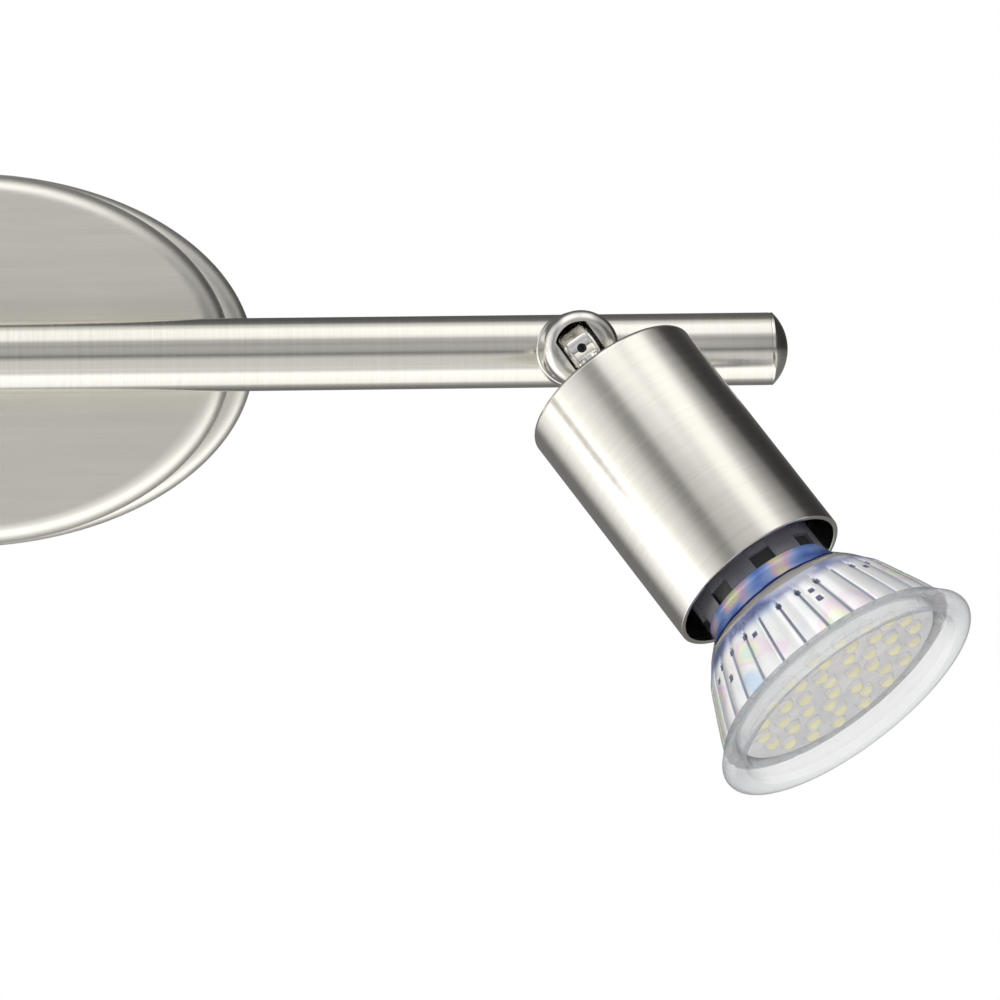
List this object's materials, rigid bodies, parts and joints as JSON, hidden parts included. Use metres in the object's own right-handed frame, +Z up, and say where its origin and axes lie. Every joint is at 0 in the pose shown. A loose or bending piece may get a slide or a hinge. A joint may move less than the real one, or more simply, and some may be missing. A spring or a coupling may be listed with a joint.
{
  "type": "track lighting fixture",
  "caption": "Wall or ceiling spot bar: oval stepped plate, round bar with domed ends and swivelling cylindrical lamp sleeves holding twist-lock reflector lamps.",
  "frame": {"origin": "middle of the mounting bracket's back face, on the wall", "axes": "+X along the bar to the right as seen from the front, +Y into the wall, +Z up"},
  "size_m": [0.336, 0.1087, 0.1105],
  "materials": {
    "satin_nickel": "satin warm nickel plate over steel",
    "polished_nickel": "polished nickel plate",
    "zinc_steel": "zinc-plated steel",
    "black_steel": "black oxide steel",
    "brass": "plain brass",
    "black_plastic": "moulded nylon",
    "white_plastic": "moulded nylon",
    "brown_insulation": "brown lead insulation",
    "blue_insulation": "blue lead insulation",
    "green_insulation": "green lead insulation with a yellow stripe",
    "white_insulation": "white heat-proof sleeve",
    "holder_ceramic": "unglazed steatite",
    "grey_plastic": "dark blue-grey moulded plastic",
    "pin_metal": "nickel-plated pins",
    "clear_glass": "clear pressed glass",
    "board_white": "white solder-mask board",
    "light_chip": "yellow phosphor under clear resin"
  },
  "bodies": {
    "bar_frame": {"mounting_bracket": "zinc_steel", "cable_bush": "black_plastic", "earth_terminal": "brass", "terminal_block": "white_plastic", "terminal_screws": "zinc_steel", "canopy_cover": "satin_nickel", "canopy_side_screws": "satin_nickel", "bar_stems": "satin_nickel", "stem_washers": "zinc_steel", "stem_nuts": "zinc_steel", "bar_tube": "satin_nickel", "end_cap_left": "satin_nickel", "end_cap_right": "satin_nickel", "swivel_collars": "satin_nickel", "saddle_bushes": "zinc_steel", "live_wires": "brown_insulation", "neutral_wires": "blue_insulation", "earth_wire": "green_insulation"},
    "swivel_left": {"pan_washer_left": "black_plastic", "swivel_knuckle_left": "satin_nickel", "swivel_nut_left": "zinc_steel", "pivot_screws_left": "satin_nickel"},
    "head_left": {"tilt_washers_left": "black_plastic", "lamp_arm_left": "polished_nickel", "lead_screw_left": "black_steel", "arm_washer_left": "zinc_steel", "arm_nut_left": "zinc_steel", "lamp_sleeve_left": "satin_nickel", "holder_bracket_left": "zinc_steel", "lamp_holder_left": "holder_ceramic", "holder_screws_left": "zinc_steel", "lamp_leads_left": "white_insulation"},
    "lamp_left": {"lamp_base_left": "grey_plastic", "lamp_pins_left": "pin_metal", "lamp_reflector_left": "clear_glass", "lamp_front_left": "clear_glass", "led_board_left": "board_white", "led_chips_left": "light_chip"},
    "swivel_right": {"pan_washer_right": "black_plastic", "swivel_knuckle_right": "satin_nickel", "swivel_nut_right": "zinc_steel", "pivot_screws_right": "satin_nickel"},
    "head_right": {"tilt_washers_right": "black_plastic", "lamp_arm_right": "polished_nickel", "lead_screw_right": "black_steel", "arm_washer_right": "zinc_steel", "arm_nut_right": "zinc_steel", "lamp_sleeve_right": "satin_nickel", "holder_bracket_right": "zinc_steel", "lamp_holder_right": "holder_ceramic", "holder_screws_right": "zinc_steel", "lamp_leads_right": "white_insulation"},
    "lamp_right": {"lamp_base_right": "grey_plastic", "lamp_pins_right": "pin_metal", "lamp_reflector_right": "clear_glass", "lamp_front_right": "clear_glass", "led_board_right": "board_white", "led_chips_right": "light_chip"}
  },
  "joints": [
    {"name": "pan_left", "type": "hinge", "parent": "bar_frame", "child": "swivel_left", "pos_m": [-0.1054, -0.0505, 0], "axis": [0, -1, 0], "range_deg": [-130, 200]},
    {"name": "tilt_left", "type": "hinge", "parent": "swivel_left", "child": "head_left", "pos_m": [-0.1054, -0.0505, 0], "axis": [0.8192, 0, -0.5736], "range_deg": [-64.5, 25.5]},
    {"name": "lamp_twist_left", "type": "hinge", "parent": "head_left", "child": "lamp_left", "pos_m": [-0.12186, -0.06419, -0.02351], "axis": [-0.5177, -0.4305, -0.7394], "range_deg": [0, 25]},
    {"name": "pan_right", "type": "hinge", "parent": "bar_frame", "child": "swivel_right", "pos_m": [0.1054, -0.0505, 0], "axis": [0, -1, 0], "range_deg": [-200, 130]},
    {"name": "tilt_right", "type": "hinge", "parent": "swivel_right", "child": "head_right", "pos_m": [0.1054, -0.0505, 0], "axis": [0.8192, 0, 0.5736], "range_deg": [-64.5, 25.5]},
    {"name": "lamp_twist_right", "type": "hinge", "parent": "head_right", "child": "lamp_right", "pos_m": [0.12186, -0.06419, -0.02351], "axis": [0.5177, -0.4305, -0.7394], "range_deg": [0, 25]}
  ]
}
